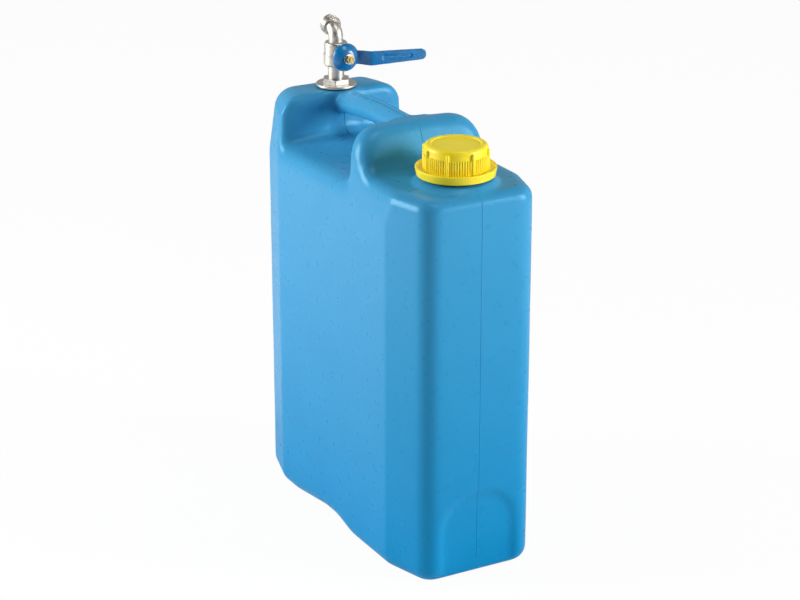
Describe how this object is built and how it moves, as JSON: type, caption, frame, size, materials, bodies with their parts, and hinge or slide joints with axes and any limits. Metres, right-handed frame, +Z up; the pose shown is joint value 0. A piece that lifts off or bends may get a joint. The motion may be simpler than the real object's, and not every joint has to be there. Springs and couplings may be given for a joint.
{
  "type": "water container with tap",
  "caption": "Narrow upright plastic water container with a moulded carrying handle, a screw cap over the filler neck and a ball-valve tap with a swinging lever and bent spout.",
  "frame": {"origin": "middle of the tank's plan, on the plane that the base stands on", "axes": "+X towards the end with the filler cap, -X towards the end with the tap, +Y along the shut lever, +Z up"},
  "size_m": [0.358, 0.1611, 0.5271],
  "materials": {
    "blue_tank": "semi-matt blow-moulded polyethylene",
    "yellow_cap": "satin injection-moulded",
    "white_seal": "soft foam liner",
    "nickel_brass": "nickel-plated brass casting",
    "bare_brass": "turned brass",
    "black_rubber": "matt moulded rubber",
    "white_ptfe": "smooth seat plastic",
    "steel": "zinc-plated steel",
    "blue_lever": "dipped vinyl over a metal lever"
  },
  "bodies": {
    "container": {"container_body": "blue_tank", "tap_flange": "nickel_brass", "tap_gasket": "black_rubber", "inner_gasket": "black_rubber", "lock_nut": "bare_brass", "valve_tail": "nickel_brass", "tail_o_ring": "black_rubber", "valve_body": "nickel_brass", "stop_pin": "steel", "lower_seat": "white_ptfe", "upper_seat": "white_ptfe", "thrust_washer": "white_ptfe", "stem_packing": "white_ptfe", "gland_nut": "bare_brass"},
    "cap_carrier": {"cap_seal": "white_seal"},
    "cap": {"filler_cap": "yellow_cap"},
    "tap_lever": {"valve_ball": "nickel_brass", "valve_stem": "bare_brass", "lever": "blue_lever", "lever_washer": "steel", "lever_nut": "bare_brass"}
  },
  "joints": [
    {"name": "cap_lift", "type": "slide", "parent": "container", "child": "cap_carrier", "axis": [0, 0, 1], "range_m": [0, 0.012]},
    {"name": "cap_turn", "type": "hinge", "parent": "cap_carrier", "child": "cap", "pos_m": [0.126, 0, 0.44], "axis": [0, 0, 1], "range_deg": [0, 720]},
    {"name": "tap_turn", "type": "hinge", "parent": "container", "child": "tap_lever", "pos_m": [-0.1317, 0, 0.4875], "axis": [1, 0, 0], "range_deg": [0, 90]}
  ],
  "couplings": [
    {"joint": "cap_lift", "follows": "cap_turn", "m_per_rad": 0.00095493}
  ]
}
